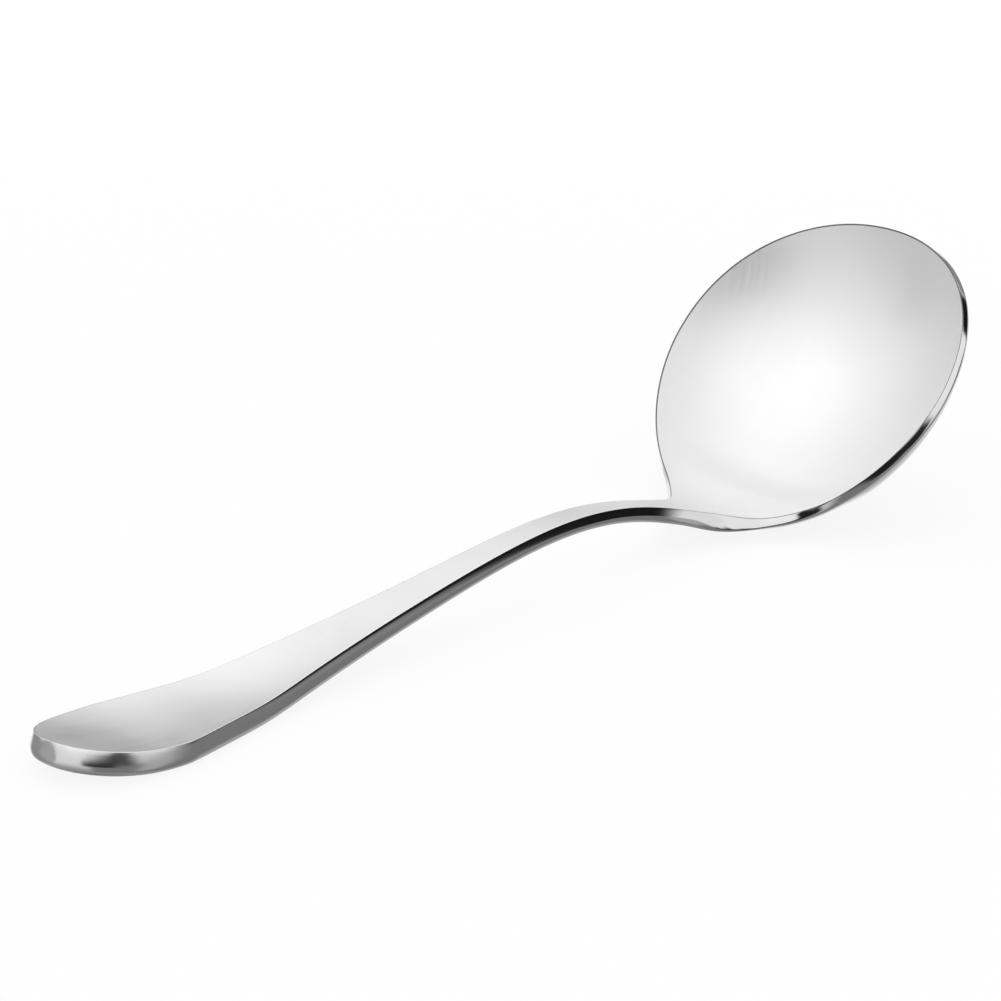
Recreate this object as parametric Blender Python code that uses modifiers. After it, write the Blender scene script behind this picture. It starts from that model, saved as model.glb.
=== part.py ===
# One-piece polished steel spoon: a tapering handle, a low crest, and a round bowl turned up from the heel.
# The flat blank is drawn first, its bowl is dished, and the whole is bent along a spine seen from the side.
# It lies on a flat land under the handle end and on the heel of the bowl.
import math

import bmesh
import bpy
import numpy as np
from mathutils import Vector

MM = 0.001

# Handle in plan
HANDLE_END_WIDTH = 17.1 * MM
HANDLE_END_LENGTH = 15.2 * MM
HANDLE_END_FULLNESS = 2.26
TAPER_LENGTH = 98.6 * MM
TAPER_ONSET = 1.12
TAPER_HOLLOW = 3.15
NECK_WIDTH = 3.9 * MM

# Bowl in plan, measured from its widest line, and the shoulder that widens the neck into it
BOWL_WIDTH = 47.9 * MM
BOWL_BACK = 28.3 * MM
BOWL_BACK_FULLNESS = 1.86
BOWL_FRONT = 25.4 * MM
BOWL_FRONT_FULLNESS = 2.09
SHOULDER_LENGTH = 34.8 * MM
SHOULDER_SHARPNESS = 3.4

# Thicknesses, and the hollow of the bowl
HANDLE_THICKNESS = 3.2 * MM
NECK_THICKNESS = 2.35 * MM
BOWL_THICKNESS = 1.5 * MM
BOWL_DEPTH = 14.7 * MM
DISH_ANGLE = math.radians(64.3)
HOLLOW_LEAD = 9.4 * MM
HOLLOW_EASE = 0.58

# Edge of the blank: an upright side on the handle that turns into a bevelled rim on the bowl.
# Its roundings take no more than the given shares of its breadth.
RIM_WIDTH = 0.82 * MM
RIM_FALL = 0.7 * MM
EDGE_TURN_LEAD = 16.7 * MM
EDGE_TURN_LENGTH = 13.3 * MM
UPPER_EDGE_RADIUS = 0.2 * MM
LOWER_EDGE_RADIUS = 1.25 * MM
RIM_EDGE_RADIUS = 0.4 * MM
UPPER_EDGE_MOST = 0.4
LOWER_EDGE_MOST = 0.5
SHARP_ANGLE = math.radians(50.0)

# Spine, as lengths along the metal from the handle end and the angles it turns through
SWEEP_LENGTH = 20.0 * MM
SWEEP_ANGLE = math.radians(11.65)
LAND_LENGTH = 4.3 * MM
RISE_LENGTH = 12.7 * MM
STRAIGHT_LENGTH = 24.0 * MM
ARCH_LENGTH = 58.8 * MM
ARCH_ANGLE = math.radians(22.9)
ARCH_LATENESS = 1.68
NECK_LENGTH = 7.1 * MM
HEEL_LENGTH = 13.0 * MM
HEEL_ANGLE = math.radians(61.3)
HEEL_SET = 3.2 * MM
RIM_DROOP_ANGLE = math.radians(5.0)

# Fineness of the facets
END_STEPS = 10
SHAFT_STEP = 2.2 * MM
SHOULDER_STEPS = 20
BACK_STEPS = 16
FRONT_STEPS = 18
ACROSS_STEPS = 8
CORNER_STEPS = 2
SPINE_SAMPLES = 2000

# Stations along the flat blank
SWEEP_END = SWEEP_LENGTH
LAND_END = SWEEP_END + LAND_LENGTH
RISE_END = LAND_END + RISE_LENGTH
ARCH_START = RISE_END + STRAIGHT_LENGTH
HEEL_START = ARCH_START + ARCH_LENGTH + NECK_LENGTH
BOWL_CENTRE = HEEL_START + HEEL_LENGTH / 2 - HEEL_SET + BOWL_BACK
BOWL_TIP = BOWL_CENTRE + BOWL_FRONT


def ease(t):
    t = np.clip(t, 0.0, 1.0)
    return t * t * (3.0 - 2.0 * t)


# Depth of a round dish at a share of its radius: 1 in the middle, 0 at the rim
def dish(share):
    slope = share * math.sin(DISH_ANGLE)
    return (math.sqrt(1.0 - slope * slope) - math.cos(DISH_ANGLE)) / (1.0 - math.cos(DISH_ANGLE))


# Quarter of a rounded outline with unit half-axes: the way along and the way across
def rounded_quarter(angle, fullness):
    along = max(math.cos(angle), 0.0) ** (2.0 / fullness)
    across = max(math.sin(angle), 0.0) ** (2.0 / fullness)
    return along, across


def shaft_half_width(station):
    t = min(max((station - HANDLE_END_LENGTH) / TAPER_LENGTH, 0.0), 1.0)
    taper = (1.0 - t ** TAPER_ONSET) ** TAPER_HOLLOW
    return (NECK_WIDTH + (HANDLE_END_WIDTH - NECK_WIDTH) * taper) / 2


# Angle on the bowl's back outline where the shoulder runs in tangent to it, and how much it widens by there
def shoulder():
    low, high = 0.0, math.pi / 2
    for _ in range(60):
        angle = (low + high) / 2
        along, across = rounded_quarter(angle, BOWL_BACK_FULLNESS)
        half_width = across * BOWL_WIDTH / 2
        slope = BOWL_WIDTH / 2 / BOWL_BACK * (along / across) ** (BOWL_BACK_FULLNESS - 1.0)
        widening = half_width - NECK_WIDTH / 2
        if SHOULDER_SHARPNESS * widening / SHOULDER_LENGTH < slope:
            low = angle
        else:
            high = angle
    return angle, widening, BOWL_CENTRE - along * BOWL_BACK


BACK_ANGLE, SHOULDER_WIDENING, SHOULDER_END = shoulder()
SHOULDER_START = SHOULDER_END - SHOULDER_LENGTH
EDGE_TURN_START = SHOULDER_END - EDGE_TURN_LEAD
HOLLOW_START = SHOULDER_END - HOLLOW_LEAD


# Half outline of the blank, from the handle tip to the bowl tip: each section's centre and its outline point
def outline():
    points = []
    for step in range(END_STEPS):
        along, across = rounded_quarter(step / END_STEPS * math.pi / 2, HANDLE_END_FULLNESS)
        station = HANDLE_END_LENGTH * (1.0 - along)
        points.append((HANDLE_END_LENGTH, station, across * HANDLE_END_WIDTH / 2))
    marks = [SWEEP_END, LAND_END, RISE_END, ARCH_START]
    marks = sorted(mark for mark in marks if HANDLE_END_LENGTH < mark < SHOULDER_START)
    marks = [HANDLE_END_LENGTH] + marks + [SHOULDER_START]
    for first, last in zip(marks, marks[1:]):
        count = math.ceil((last - first) / SHAFT_STEP)
        for station in np.linspace(first, last, count, endpoint=False):
            points.append((station, station, shaft_half_width(station)))
    for step in range(SHOULDER_STEPS):
        way = step / SHOULDER_STEPS
        station = SHOULDER_START + SHOULDER_LENGTH * way
        half_width = shaft_half_width(station) + SHOULDER_WIDENING * way ** SHOULDER_SHARPNESS
        points.append((station, station, half_width))
    for angle in np.linspace(BACK_ANGLE, math.pi / 2, BACK_STEPS, endpoint=False):
        along, across = rounded_quarter(angle, BOWL_BACK_FULLNESS)
        station = BOWL_CENTRE - along * BOWL_BACK
        points.append((station, station, across * BOWL_WIDTH / 2))
    for angle in np.linspace(math.pi / 2, 0.0, FRONT_STEPS + 1):
        along, across = rounded_quarter(angle, BOWL_FRONT_FULLNESS)
        points.append((BOWL_CENTRE, BOWL_CENTRE + along * BOWL_FRONT, across * BOWL_WIDTH / 2))
    return points


# How far the hollow has come in at a station on the centreline: 0 on the neck, 1 in the middle of the bowl
def hollow_share(station):
    t = min(max((station - HOLLOW_START) / (BOWL_CENTRE - HOLLOW_START), 0.0), 1.0)
    return (1.0 - (1.0 - t) ** 2) * ease(t / HOLLOW_EASE)


def metal_thickness(station):
    shaft = HANDLE_THICKNESS + (NECK_THICKNESS - HANDLE_THICKNESS) * ease(
        (station - LAND_END) / (HEEL_START - LAND_END))
    return shaft + (BOWL_THICKNESS - shaft) * hollow_share(station)


def hollow_depth(station):
    return BOWL_DEPTH * hollow_share(station)


# Point of a skin at a share of the way from the centreline out to its edge
def skin_point(centre, edge, depth, share):
    height = edge.z - (depth + edge.z) * dish(share)
    return Vector((centre + (edge.x - centre) * share, edge.y * share, height))


# Shares that follow equal angles of the dish, up to the given last share
def skin_shares(last):
    angles = np.linspace(0.0, math.asin(last * math.sin(DISH_ANGLE)), ACROSS_STEPS + 1)
    return [math.sin(angle) / math.sin(DISH_ANGLE) for angle in angles]


def rounded_corner(before, corner, after):
    points = []
    for t in np.linspace(0.0, 1.0, CORNER_STEPS + 1):
        points.append(before * (1.0 - t) ** 2 + corner * 2.0 * t * (1.0 - t) + after * t ** 2)
    return points


# One section of the flat blank: over the top skin, round the edge and back along the underside
def section(centre, edge, normal):
    turn = math.pi / 2 * ease((centre - EDGE_TURN_START) / EDGE_TURN_LENGTH)
    sideways = math.sin(turn)
    upright = math.cos(turn)
    thickness = metal_thickness(centre)
    upper = edge - normal * RIM_WIDTH * sideways
    lower = edge - Vector((0.0, 0.0, thickness * upright + RIM_FALL * sideways))
    band = lower - upper
    upper_radius = min(UPPER_EDGE_RADIUS, band.length * UPPER_EDGE_MOST)
    lower_radius = LOWER_EDGE_RADIUS * upright + RIM_EDGE_RADIUS * sideways
    lower_radius = min(lower_radius, band.length * LOWER_EDGE_MOST)
    middle = Vector((centre, 0.0, 0.0))
    upper_share = 1.0 - upper_radius / (upper - middle).length
    lower_share = 1.0 - lower_radius / (lower.xy - middle.xy).length
    depth = hollow_depth(centre)
    top = [skin_point(centre, upper, depth, share) for share in skin_shares(upper_share)]
    under = [skin_point(centre, lower, depth + thickness, share) for share in skin_shares(lower_share)]
    under.reverse()
    band.normalize()
    upper_corner = rounded_corner(top.pop(), upper, upper + band * upper_radius)
    lower_corner = rounded_corner(lower - band * lower_radius, lower, under.pop(0))
    return top + upper_corner + lower_corner + under


def blank_sections():
    points = outline()
    plan = [Vector((station, half_width, 0.0)) for _, station, half_width in points]
    flip = Vector((1.0, -1.0, 1.0))
    plan_before = [plan[1] * flip] + plan[:-1]
    plan_after = plan[1:] + [plan[-2] * flip]
    sections = []
    for (centre, _, _), edge, before, after in zip(points, plan, plan_before, plan_after):
        along = (after - before).normalized()
        sections.append(section(centre, edge, Vector((-along.y, along.x, 0.0))))
    return sections


# The spine's line in side view, and its slope, for a given rise angle at the end of the land
class Spine:
    def __init__(self, rise_angle):
        self.rise_angle = rise_angle
        self.stations = np.linspace(0.0, BOWL_TIP, SPINE_SAMPLES)
        slopes = self.slope(self.stations)
        step = self.stations[1]
        across = (np.cos(slopes[1:]) + np.cos(slopes[:-1])) / 2 * step
        up = (np.sin(slopes[1:]) + np.sin(slopes[:-1])) / 2 * step
        self.x = np.concatenate([[0.0], np.cumsum(across)])
        self.z = np.concatenate([[0.0], np.cumsum(up)])
        self.z += HANDLE_THICKNESS - np.interp((SWEEP_END + LAND_END) / 2, self.stations, self.z)

    def slope(self, station):
        late = np.clip((station - ARCH_START) / ARCH_LENGTH, 0.0, 1.0) ** ARCH_LATENESS
        return (SWEEP_ANGLE * (ease(station / SWEEP_LENGTH) - 1.0)
                + self.rise_angle * ease((station - LAND_END) / RISE_LENGTH)
                - ARCH_ANGLE * ease(late)
                + HEEL_ANGLE * ease((station - HEEL_START) / HEEL_LENGTH)
                - RIM_DROOP_ANGLE * ease((station - BOWL_CENTRE) / BOWL_FRONT))

    def bend(self, point):
        slope = float(self.slope(point.x))
        x = float(np.interp(point.x, self.stations, self.x))
        z = float(np.interp(point.x, self.stations, self.z))
        return Vector((x - point.z * math.sin(slope), point.y, z + point.z * math.cos(slope)))


# Rise angle that lets the heel of the bowl down on to the plane of the land
def resting_spine(sections):
    heel = [points[-1] for points in sections if points[-1].x > ARCH_START]
    low, high = math.radians(-30.0), math.radians(60.0)
    for _ in range(40):
        spine = Spine((low + high) / 2)
        if min(spine.bend(point).z for point in heel) > 0.0:
            high = spine.rise_angle
        else:
            low = spine.rise_angle
    return spine


def loft(name, sections):
    mesh = bpy.data.meshes.new(name)
    body = bmesh.new()
    rows = [[body.verts.new(point) for point in points] for points in sections]
    for row, next_row in zip(rows, rows[1:]):
        for place in range(len(row) - 1):
            body.faces.new((row[place], next_row[place], next_row[place + 1], row[place + 1]))
    bmesh.ops.remove_doubles(body, verts=body.verts, dist=0.001 * MM)
    body.to_mesh(mesh)
    body.free()
    return mesh


def polished_steel():
    material = bpy.data.materials.new("Polished stainless steel")
    material.use_nodes = True
    shader = material.node_tree.nodes["Principled BSDF"]
    shader.inputs["Base Color"].default_value = (0.78, 0.78, 0.77, 1.0)
    shader.inputs["Metallic"].default_value = 1.0
    shader.inputs["Roughness"].default_value = 0.08
    return material


def make_spoon(collection):
    sections = blank_sections()
    spine = resting_spine(sections)
    bent = [[spine.bend(point) for point in points] for points in sections]
    reach = [point.x for points in bent for point in points]
    middle = Vector(((min(reach) + max(reach)) / 2, 0.0, 0.0))
    mesh = loft("spoon", [[point - middle for point in points] for points in bent])
    spoon = bpy.data.objects.new("spoon", mesh)
    collection.objects.link(spoon)
    mesh.materials.append(polished_steel())
    mesh.shade_smooth()
    mesh.set_sharp_from_angle(angle=SHARP_ANGLE)
    mirror = spoon.modifiers.new("other half", "MIRROR")
    mirror.use_axis = (False, True, False)
    mirror.merge_threshold = 0.01 * MM
    print("rise angle", round(math.degrees(spine.rise_angle), 2), "handle tip x", round(-middle.x, 6))


for old in list(bpy.data.objects):
    bpy.data.objects.remove(old)
parts = bpy.data.collections.new("Round-bowled spoon")
bpy.context.scene.collection.children.link(parts)
make_spoon(parts)
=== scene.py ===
# Round-bowled spoon in polished stainless steel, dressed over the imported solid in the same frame
from math import cos, pi, radians, sin

import bmesh
import bpy
import numpy as np
from mathutils import Matrix, Vector


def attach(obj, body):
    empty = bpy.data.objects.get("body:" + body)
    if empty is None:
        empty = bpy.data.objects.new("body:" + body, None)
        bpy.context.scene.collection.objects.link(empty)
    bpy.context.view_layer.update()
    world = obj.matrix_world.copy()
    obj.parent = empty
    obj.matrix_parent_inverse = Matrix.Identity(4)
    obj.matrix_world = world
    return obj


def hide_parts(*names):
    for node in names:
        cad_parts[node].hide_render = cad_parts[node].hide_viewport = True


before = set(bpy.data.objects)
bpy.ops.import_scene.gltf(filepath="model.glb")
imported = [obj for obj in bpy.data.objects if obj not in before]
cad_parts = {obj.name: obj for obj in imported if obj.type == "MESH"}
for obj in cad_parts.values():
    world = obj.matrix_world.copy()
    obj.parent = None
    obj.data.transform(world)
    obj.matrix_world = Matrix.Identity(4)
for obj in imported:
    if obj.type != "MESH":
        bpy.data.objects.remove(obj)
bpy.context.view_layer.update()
scene = bpy.context.scene
print("frame loaded:", sorted(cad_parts))

mm = 0.001

# What a user would change on the spoon: lengths in millimetres, angles in degrees, facets in counts. A limit
# is the largest share of the edge's breadth that a corner's radius may take.
spoonShape = {
    "handleEnd": {"width": 17.1, "length": 15.2, "fullness": 2.26},
    "taper": {"length": 98.6, "onset": 1.12, "hollow": 3.15},
    "neck": {"width": 3.9, "thickness": 2.35},
    "bowl": {"width": 47.9, "back": 28.3, "backFullness": 1.86, "front": 25.4, "frontFullness": 2.09},
    "shoulder": {"length": 34.8, "sharpness": 3.4},
    "metal": {"handle": 3.2, "bowl": 1.5, "handleDish": 0.35, "dishHold": 1.2},
    "hollow": {"depth": 14.7, "dishAngle": 64.3, "lead": 9.4, "ease": 0.58},
    "edge": {"bevelWidth": 0.6, "bevelFall": 1.15, "turnLead": 16.7, "turnLength": 13.3, "crown": 0.1,
             "rimCrown": 0.015, "upperRadius": 0.09, "rimUpperRadius": 0.12, "upperLimit": 0.3,
             "lowerRadius": 1.25, "rimLowerRadius": 0.3, "lowerLimit": 0.5, "footLead": 8.0},
    "spine": {"sweep": 20.0, "sweepAngle": 11.65, "land": 4.3, "rise": 12.7, "straight": 24.0,
              "arch": 58.8, "archAngle": 22.9, "archLateness": 1.68, "neck": 7.1,
              "heel": 13.0, "heelAngle": 61.3, "heelSet": 3.2, "droopAngle": 5.0},
    "facets": {"end": 48, "shaft": 110, "shoulder": 70, "back": 44, "front": 72,
               "across": 22, "upper": 5, "side": 6, "lower": 7, "spine": 3000},
    "weld": {"points": 0.0005, "slivers": 0.0002},
}


def easeInOut(t):
    t = np.clip(t, 0.0, 1.0)
    return t * t * (3.0 - 2.0 * t)


# Stations along the flat blank, counted from the handle's tip
def layOut(shape):
    spine, bowl, neck, shoulder = shape["spine"], shape["bowl"], shape["neck"], shape["shoulder"]
    at = {"landStart": spine["sweep"]}
    at["landEnd"] = at["landStart"] + spine["land"]
    at["archStart"] = at["landEnd"] + spine["rise"] + spine["straight"]
    at["heelStart"] = at["archStart"] + spine["arch"] + spine["neck"]
    at["bowlCentre"] = at["heelStart"] + spine["heel"] / 2 - spine["heelSet"] + bowl["back"]
    at["bowlTip"] = at["bowlCentre"] + bowl["front"]
    low, high = 0.0, pi / 2  # the shoulder runs in tangent to the bowl's back outline at this angle
    for _ in range(60):
        angle = (low + high) / 2
        along, across = cos(angle) ** (2 / bowl["backFullness"]), sin(angle) ** (2 / bowl["backFullness"])
        slope = bowl["width"] / 2 / bowl["back"] * (along / across) ** (bowl["backFullness"] - 1)
        widening = across * bowl["width"] / 2 - neck["width"] / 2
        if shoulder["sharpness"] * widening / shoulder["length"] < slope:
            low = angle
        else:
            high = angle
    at["backAngle"], at["widening"] = angle, widening
    at["shoulderEnd"] = at["bowlCentre"] - along * bowl["back"]
    at["shoulderStart"] = at["shoulderEnd"] - shoulder["length"]
    at["hollowStart"] = at["shoulderEnd"] - shape["hollow"]["lead"]
    at["turnStart"] = at["shoulderEnd"] - shape["edge"]["turnLead"]
    return at


# Half outline of the blank: the centre that each section fans out from, and its point on the outline
def blankOutline(shape, at):
    end, bowl, facets = shape["handleEnd"], shape["bowl"], shape["facets"]

    def shaftHalfWidth(station):
        t = np.clip((station - end["length"]) / shape["taper"]["length"], 0.0, 1.0)
        taper = (1 - t ** shape["taper"]["onset"]) ** shape["taper"]["hollow"]
        return (shape["neck"]["width"] + (end["width"] - shape["neck"]["width"]) * taper) / 2

    angle = np.linspace(0, pi / 2, facets["end"], endpoint=False)
    endStation = end["length"] * (1 - np.cos(angle) ** (2 / end["fullness"]))
    endHalf = end["width"] / 2 * np.sin(angle) ** (2 / end["fullness"])
    shaft = np.linspace(end["length"], at["shoulderStart"], facets["shaft"], endpoint=False)
    way = np.linspace(0, 1, facets["shoulder"], endpoint=False)
    flare = at["shoulderStart"] + shape["shoulder"]["length"] * way
    flareHalf = shaftHalfWidth(flare) + at["widening"] * way ** shape["shoulder"]["sharpness"]
    angle = np.linspace(at["backAngle"], pi / 2, facets["back"], endpoint=False)
    back = at["bowlCentre"] - bowl["back"] * np.cos(angle) ** (2 / bowl["backFullness"])
    backHalf = bowl["width"] / 2 * np.sin(angle) ** (2 / bowl["backFullness"])
    angle = np.linspace(pi / 2, 0, facets["front"] + 1)
    front = at["bowlCentre"] + bowl["front"] * np.maximum(np.cos(angle), 0) ** (2 / bowl["frontFullness"])
    frontHalf = bowl["width"] / 2 * np.maximum(np.sin(angle), 0) ** (2 / bowl["frontFullness"])
    centre = np.concatenate([np.full_like(endStation, end["length"]), shaft, flare, back,
                             np.full_like(front, at["bowlCentre"])])
    station = np.concatenate([endStation, shaft, flare, back, front])
    half = np.concatenate([endHalf, shaftHalfWidth(shaft), flareHalf, backHalf, frontHalf])
    return centre, np.stack([station, half], 1)


# Sections of the flat blank: over the dished top, round the edge and back under, as rows of points
def blankSections(shape, at):
    edge, facets = shape["edge"], shape["facets"]
    centre, plan = blankOutline(shape, at)
    before = np.vstack([plan[1] * [1, -1], plan[:-1]])
    after = np.vstack([plan[1:], plan[-2] * [1, -1]])
    along = (after - before) / np.linalg.norm(after - before, axis=1)[:, None]
    outward = np.stack([-along[:, 1], along[:, 0]], 1)

    t = np.clip((centre - at["hollowStart"]) / (at["bowlCentre"] - at["hollowStart"]), 0.0, 1.0)
    share = (1 - (1 - t) ** 2) * easeInOut(t / shape["hollow"]["ease"])
    shaft = shape["metal"]["handle"] + (shape["neck"]["thickness"] - shape["metal"]["handle"]) * easeInOut(
        (centre - at["landEnd"]) / (at["heelStart"] - at["landEnd"]))
    thick = shaft + (shape["metal"]["bowl"] - shaft) * share
    depth = shape["hollow"]["depth"] * share

    turn = pi / 2 * easeInOut((centre - at["turnStart"]) / edge["turnLength"])
    sideways, upright = np.sin(turn), np.cos(turn)
    flat = np.zeros(len(centre))
    upper = np.column_stack([plan - outward * (edge["bevelWidth"] * sideways)[:, None], flat])
    lower = np.column_stack([plan, -(thick * upright + edge["bevelFall"] * sideways)])
    breadth = np.linalg.norm(lower - upper, axis=1)
    face = np.column_stack([outward, flat])
    face = face * upright[:, None] + np.array([0, 0, 1.0]) * sideways[:, None]
    crown = edge["crown"] * upright + edge["rimCrown"] * sideways
    middle = (upper + lower) / 2 + face * 2 * crown[:, None]  # the side is struck slightly round
    upperRadius = edge["upperRadius"] * upright + edge["rimUpperRadius"] * sideways
    upperRadius = np.minimum(upperRadius, breadth * edge["upperLimit"])
    # the lower corner is well rounded on the handle and sharpens through the neck
    fromFoot = centre - at["turnStart"] + edge["footLead"]
    sharpened = easeInOut(fromFoot / (edge["turnLength"] + edge["footLead"]))
    lowerRadius = edge["lowerRadius"] + (edge["rimLowerRadius"] - edge["lowerRadius"]) * sharpened
    lowerRadius = np.minimum(lowerRadius, breadth * edge["lowerLimit"])

    end = shape["handleEnd"]["length"]
    nearEnd = easeInOut(shape["metal"]["dishHold"] * (1 - (centre - end) / (at["archStart"] - end)))
    dishAngle = radians(shape["hollow"]["dishAngle"])

    def skin(corner, bottom, radius, dish):
        reach = np.hypot(corner[:, 0] - centre, corner[:, 1])
        last = np.arcsin((1 - radius / np.maximum(reach, 1e-6)) * sin(dishAngle))
        shares = np.sin(np.linspace(0, 1, facets["across"] + 1)[None, :] * last[:, None]) / sin(dishAngle)
        fall = (np.sqrt(1 - (shares * sin(dishAngle)) ** 2) - cos(dishAngle)) / (1 - cos(dishAngle))
        x = centre[:, None] + (corner[:, 0] - centre)[:, None] * shares
        height = corner[:, 2:3] - (bottom + corner[:, 2])[:, None] * fall - dish[:, None] * (1 - shares ** 2)
        return np.stack([x, corner[:, 1:2] * shares, height], 2)

    def curve(start, corner, finish, steps):
        t = np.linspace(0, 1, steps + 1)[None, :, None]
        return start[:, None] * (1 - t) ** 2 + corner[:, None] * 2 * t * (1 - t) + finish[:, None] * t ** 2

    def towards(point, target, distance):
        step = target - point
        return point + step / np.linalg.norm(step, axis=1)[:, None] * distance[:, None]

    top = skin(upper, depth, upperRadius, shape["metal"]["handleDish"] * nearEnd)
    under = skin(lower, depth + thick, lowerRadius, flat)[:, ::-1]
    sideTop, sideFoot = towards(upper, middle, upperRadius), towards(lower, middle, lowerRadius)
    arris = curve(top[:, -1], upper, sideTop, facets["upper"])
    side = curve(sideTop, middle, sideFoot, facets["side"])
    foot = curve(sideFoot, lower, under[:, 0], facets["lower"])
    return np.concatenate([top, arris[:, 1:], side[:, 1:], foot[:, 1:], under[:, 1:]], 1)


# Bends the flat sections along the spine in side view, so that the land and the heel rest on one plane
def bendSections(shape, at, rows):
    spine = shape["spine"]
    stations = np.linspace(0, at["bowlTip"], shape["facets"]["spine"])

    def slope(station, riseAngle):
        late = np.clip((station - at["archStart"]) / spine["arch"], 0.0, 1.0) ** spine["archLateness"]
        front = (station - at["bowlCentre"]) / shape["bowl"]["front"]
        return np.radians(spine["sweepAngle"] * (easeInOut(station / spine["sweep"]) - 1)
                          + riseAngle * easeInOut((station - at["landEnd"]) / spine["rise"])
                          - spine["archAngle"] * easeInOut(late)
                          + spine["heelAngle"] * easeInOut((station - at["heelStart"]) / spine["heel"])
                          - spine["droopAngle"] * easeInOut(front))

    def bend(points, riseAngle):
        slopes = slope(stations, riseAngle)
        step = stations[1]
        x = np.concatenate([[0], np.cumsum(np.cos((slopes[1:] + slopes[:-1]) / 2) * step)])
        z = np.concatenate([[0], np.cumsum(np.sin((slopes[1:] + slopes[:-1]) / 2) * step)])
        z += shape["metal"]["handle"] - np.interp((at["landStart"] + at["landEnd"]) / 2, stations, z)
        along, across, above = np.moveaxis(points, -1, 0)
        here = slope(along, riseAngle)
        return np.stack([np.interp(along, stations, x) - above * np.sin(here), across,
                         np.interp(along, stations, z) + above * np.cos(here)], -1)

    heel = rows[rows[:, -1, 0] > at["archStart"], -1]
    low, high = -30.0, 60.0  # degrees: the rise that brings the heel down to the plane lies between
    for _ in range(40):
        riseAngle = (low + high) / 2
        if bend(heel, riseAngle)[:, 2].min() > 0:
            high = riseAngle
        else:
            low = riseAngle
    return bend(rows, riseAngle)


# Both halves of the loft as one closed mesh. Each point keeps its place on the flat blank, for the grain of
# the polish. Each face keeps how far it is buffed (fully on the handle, more in the bowl, partly underneath,
# round the handle's end and on the rim's corner, not at all on the bright edge), and the bowl's higher buffing
# also marks where the colour is painted paler as a painted brighter reflection. Each face also keeps whether
# it is that corner, where the colour paints a thin dark line as a painted dark reflection.
def loftMesh(name, blank, rows, shape, endShare, bowlShare, finish):
    facets, weld = shape["facets"], shape["weld"]
    count, across = rows.shape[:2]
    index = np.arange(count * across).reshape(count, across)
    quads = np.stack([index[:-1, :-1], index[1:, :-1], index[1:, 1:], index[:-1, 1:]], 2).reshape(-1, 4)
    column = np.arange(across - 1)
    onTop, under = column < facets["across"], column >= across - 1 - facets["across"]
    endShare, bowlShare = endShare[:-1, None], bowlShare[:-1, None]
    # the rim's corner faces: buffed a little less, and carrying the painted dark reflection line
    corner = np.where(~onTop & (column < facets["across"] + facets["upper"]), bowlShare, 0.0)
    topBuff = 1 + (finish["bowlBuff"] - 1) * bowlShare
    edgeBuff = finish["cornerBuff"] * corner + finish["endBuff"] * endShare
    buff = np.where(onTop, topBuff, np.where(under, finish["underBuff"], edgeBuff))
    mirror = np.array([1, -1, 1])
    mesh = bpy.data.meshes.new(name)
    mesh.from_pydata((np.vstack([rows.reshape(-1, 3), rows.reshape(-1, 3) * mirror]) * mm).tolist(), [],
                     np.vstack([quads, quads[:, ::-1] + count * across]).tolist())
    grain = np.vstack([blank.reshape(-1, 3), blank.reshape(-1, 3) * mirror])
    mesh.attributes.new("blank", "FLOAT_VECTOR", "POINT").data.foreach_set("vector", grain.ravel())
    # the corner share goes to the material for its painted dark reflection line
    for layer, values in {"buffed": buff, "rimCorner": corner}.items():
        mesh.attributes.new(layer, "FLOAT", "FACE").data.foreach_set("value", np.tile(values.ravel(), 2))
    body = bmesh.new()
    body.from_mesh(mesh)
    bmesh.ops.remove_doubles(body, verts=body.verts, dist=weld["points"] * mm)
    bmesh.ops.dissolve_degenerate(body, edges=body.edges, dist=weld["slivers"] * mm)
    bmesh.ops.recalc_face_normals(body, faces=body.faces)
    body.to_mesh(mesh)
    body.free()
    mesh.shade_smooth()
    return mesh


def hexToLinear(code):
    parts = [int(code[i:i + 2], 16) / 255 for i in (1, 3, 5)]
    return [p / 12.92 if p <= 0.04045 else ((p + 0.055) / 1.055) ** 2.4 for p in parts] + [1.0]


# Adds one node with its settings, and links its inputs: {"Input": value or (node, "Output")}
def addNode(tree, kind, settings=None, inputs=None):
    node = tree.nodes.new(kind)
    for name, value in (settings or {}).items():
        setattr(node, name, value)
    for name, value in (inputs or {}).items():
        if isinstance(value, tuple) and isinstance(value[0], bpy.types.Node):
            tree.links.new(value[0].outputs[value[1]], node.inputs[name])
        else:
            node.inputs[name].default_value = value
    return node


# What a user would change on the steel: its colours, with a paler one in the bowl as a painted brighter
# reflection and a dark one at the fine corner of the rim as a painted dark reflection line, the roughness of
# the bright edge and of the buffed handle, how far the other faces are buffed beside the handle, and in
# millimetres how far the buffing runs from the handle's end, the polishing lines, the faint waves of the
# struck metal and the rubbed resting spots
steelFinish = {
    # the bowl's paler colour is a painted brighter reflection, and the dark corner colour is a painted dark
    # reflection line along the rim
    "colour": "#E8E8E8", "shade": "#E1E1E1", "bowlPaintedSheen": "#F1F1F1", "corner": "#707070",
    "brightRoughness": 0.08, "buffedRoughness": 0.4, "roughnessSpread": 0.05, "grainSpan": (0.1, 0.45),
    "bowlBuff": 1.3, "underBuff": 0.35, "cornerBuff": 0.8, "endBuff": 0.35, "endFade": 30.0,
    "lineSpacing": 0.35, "lineLength": 16.0, "lineDepth": 0.0006, "lineDetail": 3.0, "lineBreakup": 0.6,
    "waveSize": 9.0, "waveDetail": 2.0, "rubHeight": 0.5, "rubRoughness": 0.12,
}
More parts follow.
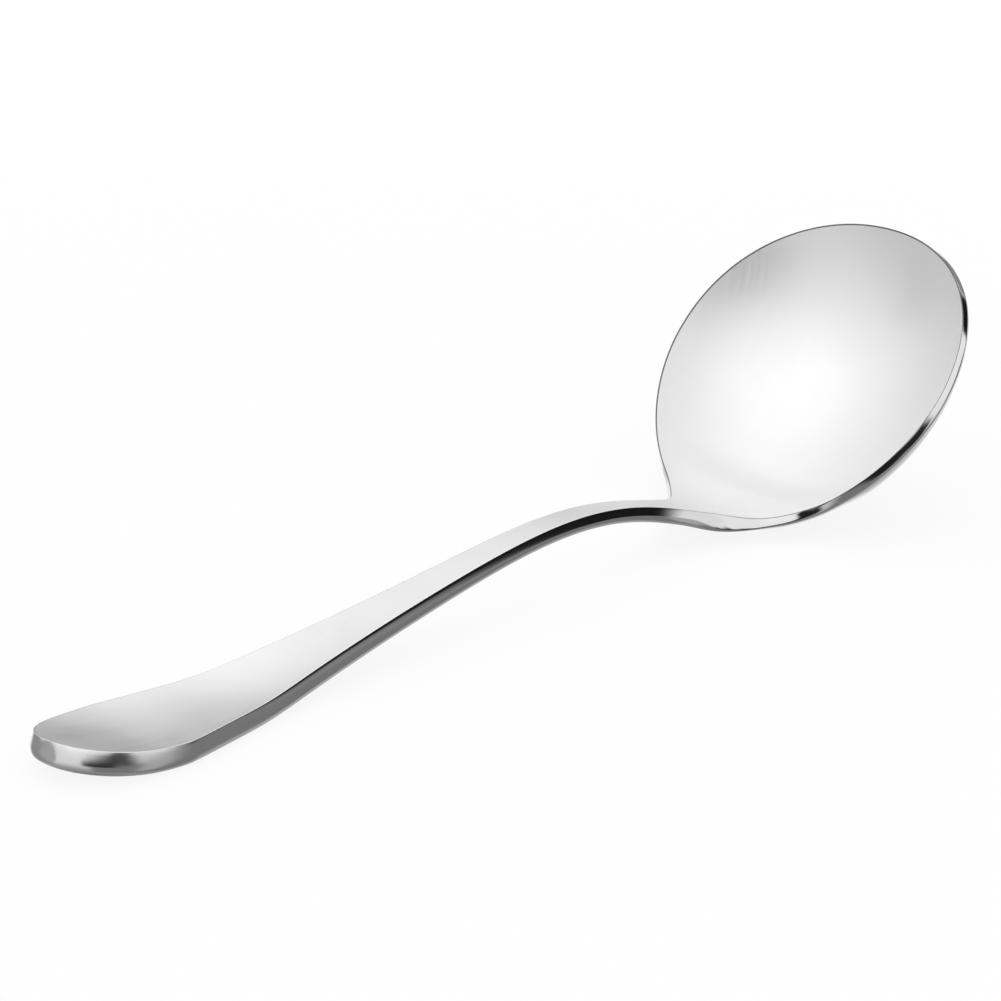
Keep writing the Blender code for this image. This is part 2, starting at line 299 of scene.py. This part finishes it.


# Stainless steel, rolled and mopped bright: the edge is a clear mirror with black and white reflections, and
# the faces carry a soft buffed sheen with hairlines along the metal, buffed most in the bowl, where the mop
# works longest. The bowl's colour is painted paler, a painted brighter reflection, and the fine corner of the
# bowl's rim is painted as a thin dark line, a painted dark reflection. The spots that the spoon rests on are a
# little rubbed.
def polishedStainless(finish):
    material = bpy.data.materials.new("Buffed and bright-edged stainless steel")
    material.use_nodes = True
    tree = material.node_tree
    tree.nodes.clear()
    blank = addNode(tree, "ShaderNodeAttribute", {"attribute_name": "blank"})
    buffed = addNode(tree, "ShaderNodeAttribute", {"attribute_name": "buffed"})
    # real polishing lines lie a few hundredths of a millimetre apart: these are drawn coarser, to show at all
    along = addNode(tree, "ShaderNodeMapping", inputs={
        "Vector": (blank, "Vector"), "Scale": (1 / finish["lineLength"], 1 / finish["lineSpacing"], 0.0)})
    lines = addNode(tree, "ShaderNodeTexNoise", inputs={
        "Vector": (along, "Vector"), "Scale": 1.0, "Detail": finish["lineDetail"],
        "Roughness": finish["lineBreakup"]})
    waves = addNode(tree, "ShaderNodeTexNoise", inputs={
        "Vector": (blank, "Vector"), "Scale": 1 / finish["waveSize"], "Detail": finish["waveDetail"]})
    grain = addNode(tree, "ShaderNodeMath", {"operation": "MULTIPLY"}, {
        0: (lines, "Fac"), 1: (waves, "Fac")})
    even = addNode(tree, "ShaderNodeMapRange", inputs={
        "Value": (grain, "Value"), "From Min": finish["grainSpan"][0], "From Max": finish["grainSpan"][1],
        "To Min": -finish["roughnessSpread"], "To Max": finish["roughnessSpread"]})
    rougher = finish["buffedRoughness"] - finish["brightRoughness"]
    base = addNode(tree, "ShaderNodeMath", {"operation": "MULTIPLY_ADD"}, {
        0: (buffed, "Fac"), 1: rougher, 2: finish["brightRoughness"]})
    spread = addNode(tree, "ShaderNodeMath", {"operation": "MULTIPLY_ADD"}, {
        0: (even, "Result"), 1: (buffed, "Fac"), 2: (base, "Value")})
    place = addNode(tree, "ShaderNodeTexCoord")
    height = addNode(tree, "ShaderNodeSeparateXYZ", inputs={"Vector": (place, "Object")})
    rub = addNode(tree, "ShaderNodeMapRange", inputs={
        "Value": (height, "Z"), "From Min": 0.0, "From Max": finish["rubHeight"] * mm,
        "To Min": finish["rubRoughness"], "To Max": 0.0})
    rubbed = addNode(tree, "ShaderNodeMath", {"operation": "MULTIPLY_ADD", "use_clamp": True}, {
        0: (rub, "Result"), 1: (lines, "Fac"), 2: (spread, "Value")})
    tint = addNode(tree, "ShaderNodeMix", {"data_type": "RGBA"}, {
        0: (waves, "Fac"), 6: hexToLinear(finish["colour"]), 7: hexToLinear(finish["shade"])})
    # the bowl is painted paler here, by how far it is buffed: a painted brighter reflection
    inBowl = addNode(tree, "ShaderNodeMapRange", inputs={
        "Value": (buffed, "Fac"), "From Min": 1.0, "From Max": finish["bowlBuff"]})
    paler = addNode(tree, "ShaderNodeMix", {"data_type": "RGBA"}, {
        0: (inBowl, "Result"), 6: (tint, 2), 7: hexToLinear(finish["bowlPaintedSheen"])})
    # the rim's fine corner is painted dark here: a painted dark reflection line, not a property of the steel
    corner = addNode(tree, "ShaderNodeAttribute", {"attribute_name": "rimCorner"})
    colour = addNode(tree, "ShaderNodeMix", {"data_type": "RGBA"}, {
        0: (corner, "Fac"), 6: (paler, 2), 7: hexToLinear(finish["corner"])})
    bump = addNode(tree, "ShaderNodeBump", inputs={
        "Height": (lines, "Fac"), "Strength": 1.0, "Distance": finish["lineDepth"] * mm})
    shader = addNode(tree, "ShaderNodeBsdfPrincipled", inputs={
        "Base Color": (colour, 2), "Metallic": 1.0, "Roughness": (rubbed, "Value"),
        "Normal": (bump, "Normal")})
    addNode(tree, "ShaderNodeOutputMaterial", inputs={"Surface": (shader, "BSDF")})
    return material


def makeSpoon():
    at = layOut(spoonShape)
    blank = blankSections(spoonShape, at)
    rows = bendSections(spoonShape, at, blank)
    middle = (rows[..., 0].min() + rows[..., 0].max()) / 2
    rows[..., 0] -= middle
    station = blank[:, 0, 0]
    endShare = 1 - easeInOut((station - spoonShape["handleEnd"]["length"]) / steelFinish["endFade"])
    bowlShare = easeInOut((station - at["turnStart"]) / (at["shoulderEnd"] - at["turnStart"]))
    mesh = loftMesh("spoonSteel", blank, rows, spoonShape, endShare, bowlShare, steelFinish)
    spoon = bpy.data.objects.new("spoonSteel", mesh)
    scene.collection.objects.link(spoon)
    mesh.materials.append(polishedStainless(steelFinish))
    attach(spoon, "root")
    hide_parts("spoon")
    print("spoon made:", len(mesh.polygons), "faces, spine starts at x", round(-middle, 2), "mm")


makeSpoon()

# Camera at the photograph's view: place and clip in metres, angles in degrees, lens and sensor in millimetres
cameraView = {"place": (-0.35394, -0.28701, 0.1627), "azimuth": 39.331, "elevation": 17.982, "roll": -1.658,
              "lens": 130.06, "sensor": 36, "clipStart": 0.01}


def aimCamera(view):
    az, el, roll = (radians(view[k]) for k in ("azimuth", "elevation", "roll"))
    ahead = Vector((cos(el) * cos(az), cos(el) * sin(az), -sin(el)))
    level = Vector((sin(az), -cos(az), 0))
    up = level.cross(ahead)
    right = level * cos(roll) - up * sin(roll)
    above = up * cos(roll) + level * sin(roll)
    camera = bpy.data.objects.new("photoCamera", bpy.data.cameras.new("photoCamera"))
    turned = Matrix((right, above, -ahead)).transposed().to_4x4()
    camera.matrix_world = Matrix.Translation(view["place"]) @ turned
    camera.data.sensor_width = view["sensor"]
    camera.data.lens = view["lens"]
    camera.data.clip_start = view["clipStart"]
    scene.collection.objects.link(camera)
    scene.camera = camera


aimCamera(cameraView)
print("camera aimed")


# The studio as the metal sees it: tones by height above the horizon, one round softbox overhead, and
# soft-edged panels in front of them, the later over the earlier. Azimuth runs from +X towards +Y, elevation up
# from the horizon, all in degrees, soft is the width of a panel's fading edges, and a tone of 1 is white. The
# left and hand screens are one panel that crosses the seam at 180 degrees.
studioTones = {
    "heights": {-90: 0.2, -40: 0.42, -15: 0.79, 0: 0.92, 8: 0.97, 30: 0.97, 50: 0.98, 90: 1.02},
    "topBox": {"azimuth": -165, "elevation": 60, "reach": (25, 54), "tone": 1.24},
    "panels": {
        "backGlow": {"azimuth": (8, 64), "elevation": (26, 66), "soft": (14, 14), "tone": 1.3},
        "handGlow": {"azimuth": (-182, -128), "elevation": (12, 38), "soft": (16, 14), "tone": 1.14},
        "backScreen": {"azimuth": (22, 75), "elevation": (-42, 6), "soft": (10, 8), "tone": 1.0},
        "tipCard": {"azimuth": (37, 58), "elevation": (-3, 21.5), "soft": (5, 8), "tone": 0.06},
        "darkTable": {"azimuth": (-132, -14), "elevation": (-58, -10), "soft": (10, 8), "tone": 0.21},
        "leftScreen": {"azimuth": (146, 200), "elevation": (-10, 9), "soft": (14, 8), "tone": 0.8},
        "handScreen": {"azimuth": (-200, -148), "elevation": (-10, 9), "soft": (14, 8), "tone": 0.8},
        "leftBand": {"azimuth": (72, 142), "elevation": (-40, 4), "soft": (16, 10), "tone": 0.3},
        "leftFlag": {"azimuth": (88, 104), "elevation": (8, 30), "soft": (8, 8), "tone": 0.3},
        "frontBox": {"azimuth": (-78, -53), "elevation": (-9.5, 12), "soft": (10, 4), "tone": 0.88},
        "frontFloor": {"azimuth": (-74, -54), "elevation": (-46, -9.5), "soft": (8, 4), "tone": 0.45},
        "cornerFlag": {"azimuth": (-92, -79), "elevation": (-13, -5), "soft": (6, 4), "tone": 0.05},
        "nearFlag": {"azimuth": (-145, -97), "elevation": (-19, 4), "soft": (11, 5), "tone": 0.015},
        "horizonFlag": {"azimuth": (-104, -84), "elevation": (-10, 6), "soft": (8, 6), "tone": 0.02},
        "rimFlag": {"azimuth": (-99, -92), "elevation": (2, 15), "soft": (6, 5), "tone": 0.02},
        "neckFlag": {"azimuth": (-53, -26), "elevation": (-10.7, 18), "soft": (14, 5), "tone": 0.01},
        "rightFlag": {"azimuth": (-38, -8), "elevation": (18, 38), "soft": (5, 6), "tone": 0.01},
        "greyCard": {"azimuth": (-8, 20), "elevation": (-4, 26), "soft": (8, 8), "tone": 0.28},
    },
}


def makeStudio(tones):
    world = bpy.data.worlds.new("Soft studio")
    world.use_nodes = True
    tree = world.node_tree
    tree.nodes.clear()
    aim = addNode(tree, "ShaderNodeTexCoord")
    axes = addNode(tree, "ShaderNodeSeparateXYZ", inputs={"Vector": (aim, "Generated")})
    turn = addNode(tree, "ShaderNodeMath", {"operation": "ARCTAN2"}, {0: (axes, "Y"), 1: (axes, "X")})
    lift = addNode(tree, "ShaderNodeMath", {"operation": "ARCSINE"}, {0: (axes, "Z")})
    azimuth = addNode(tree, "ShaderNodeMath", {"operation": "DEGREES"}, {0: (turn, "Value")})
    elevation = addNode(tree, "ShaderNodeMath", {"operation": "DEGREES"}, {0: (lift, "Value")})
    facing = addNode(tree, "ShaderNodeCombineXYZ", inputs={
        "X": (azimuth, "Value"), "Y": (elevation, "Value")})
    share = addNode(tree, "ShaderNodeMapRange", inputs={
        "Value": (elevation, "Value"), "From Min": -90.0, "From Max": 90.0})
    ramp = addNode(tree, "ShaderNodeValToRGB", inputs={"Fac": (share, "Result")})
    stops = ramp.color_ramp.elements
    for number, (degrees, tone) in enumerate(tones["heights"].items()):
        stop = stops[0] if number == 0 else stops.new((degrees + 90) / 180)
        stop.color = (tone, tone, tone, 1.0)
    stops.remove(stops[-1])

    box = tones["topBox"]
    az, el = radians(box["azimuth"]), radians(box["elevation"])
    towards = addNode(tree, "ShaderNodeVectorMath", {"operation": "DOT_PRODUCT"}, {
        0: (aim, "Generated"), 1: (cos(el) * cos(az), cos(el) * sin(az), sin(el))})
    glow = addNode(tree, "ShaderNodeMapRange", {"interpolation_type": "SMOOTHSTEP"}, {
        "Value": (towards, "Value"), "From Min": cos(radians(box["reach"][1])),
        "From Max": cos(radians(box["reach"][0]))})
    light = addNode(tree, "ShaderNodeMix", inputs={0: (glow, "Result"), 2: (ramp, "Color"), 3: box["tone"]})
    for panel in tones["panels"].values():
        sides = [panel["azimuth"], panel["elevation"]]
        middle = [(low + high) / 2 for low, high in sides]
        inner = [(high - low - soft) / 2 for (low, high), soft in zip(sides, panel["soft"])]
        outer = [(high - low + soft) / 2 for (low, high), soft in zip(sides, panel["soft"])]
        offset = addNode(tree, "ShaderNodeVectorMath", {"operation": "SUBTRACT"}, {
            0: (facing, "Vector"), 1: (*middle, 0.0)})
        away = addNode(tree, "ShaderNodeVectorMath", {"operation": "ABSOLUTE"}, {0: (offset, "Vector")})
        cover = addNode(tree, "ShaderNodeMapRange", {
            "data_type": "FLOAT_VECTOR", "interpolation_type": "SMOOTHSTEP"}, {
            6: (away, "Vector"), 7: (*inner, 0.0), 8: (*outer, 1.0),
            9: (1.0, 1.0, 1.0), 10: (0.0, 0.0, 0.0)})
        both = addNode(tree, "ShaderNodeSeparateXYZ", inputs={"Vector": (cover, "Vector")})
        share = addNode(tree, "ShaderNodeMath", {"operation": "MULTIPLY"}, {0: (both, "X"), 1: (both, "Y")})
        light = addNode(tree, "ShaderNodeMix", inputs={0: (share, "Value"), 2: (light, 0), 3: panel["tone"]})
    studio = addNode(tree, "ShaderNodeBackground", inputs={
        "Strength": (light, 0), "Color": (1.0, 1.0, 1.0, 1.0)})
    white = addNode(tree, "ShaderNodeBackground", inputs={"Color": (1.0, 1.0, 1.0, 1.0)})
    path = addNode(tree, "ShaderNodeLightPath")  # the camera itself sees plain white
    seen = addNode(tree, "ShaderNodeMixShader", inputs={
        0: (path, "Is Camera Ray"), 1: (studio, "Background"), 2: (white, "Background")})
    addNode(tree, "ShaderNodeOutputWorld", inputs={"Surface": (seen, "Shader")})
    scene.world = world
    scene.view_settings.view_transform = "Standard"


# Pale floor: white to the camera, with enough plain paper left in it under the spoon to keep its soft shadow.
# The steel sees the tones in the lower half of the studio instead. Lengths are in metres.
floorLook = {"paper": "#F4F4F4", "halfSize": 0.6, "paperShare": 0.12, "paperReach": (0.15, 0.4)}


def makeFloor(look):
    half = look["halfSize"]
    floor = bpy.data.objects.new("paleFloor", bpy.data.meshes.new("paleFloor"))
    corners = [(-half, -half, 0), (half, -half, 0), (half, half, 0), (-half, half, 0)]
    floor.data.from_pydata(corners, [], [(0, 1, 2, 3)])
    scene.collection.objects.link(floor)
    floor.visible_glossy = False
    material = bpy.data.materials.new("White paper sweep")
    material.use_nodes = True
    tree = material.node_tree
    tree.nodes.clear()
    place = addNode(tree, "ShaderNodeTexCoord")
    away = addNode(tree, "ShaderNodeVectorMath", {"operation": "LENGTH"}, {0: (place, "Object")})
    share = addNode(tree, "ShaderNodeMapRange", {"interpolation_type": "SMOOTHSTEP"}, {
        "Value": (away, "Value"), "From Min": look["paperReach"][0], "From Max": look["paperReach"][1],
        "To Min": 1 - look["paperShare"], "To Max": 1.0})
    path = addNode(tree, "ShaderNodeLightPath")
    clear = addNode(tree, "ShaderNodeMath", {"operation": "MAXIMUM"}, {
        0: (path, "Is Glossy Ray"), 1: (path, "Is Transmission Ray")})
    seen = addNode(tree, "ShaderNodeMath", {"operation": "MAXIMUM"}, {
        0: (path, "Is Camera Ray"), 1: (clear, "Value")})
    mixed = addNode(tree, "ShaderNodeMath", {"operation": "MULTIPLY"}, {
        0: (seen, "Value"), 1: (share, "Result")})
    paper = addNode(tree, "ShaderNodeBsdfDiffuse", inputs={"Color": hexToLinear(look["paper"])})
    white = addNode(tree, "ShaderNodeEmission", inputs={"Strength": 1.0})
    mix = addNode(tree, "ShaderNodeMixShader", inputs={
        0: (mixed, "Value"), 1: (paper, "BSDF"), 2: (white, "Emission")})
    addNode(tree, "ShaderNodeOutputMaterial", inputs={"Surface": (mix, "Shader")})
    floor.data.materials.append(material)


makeStudio(studioTones)
makeFloor(floorLook)
print("stage set")
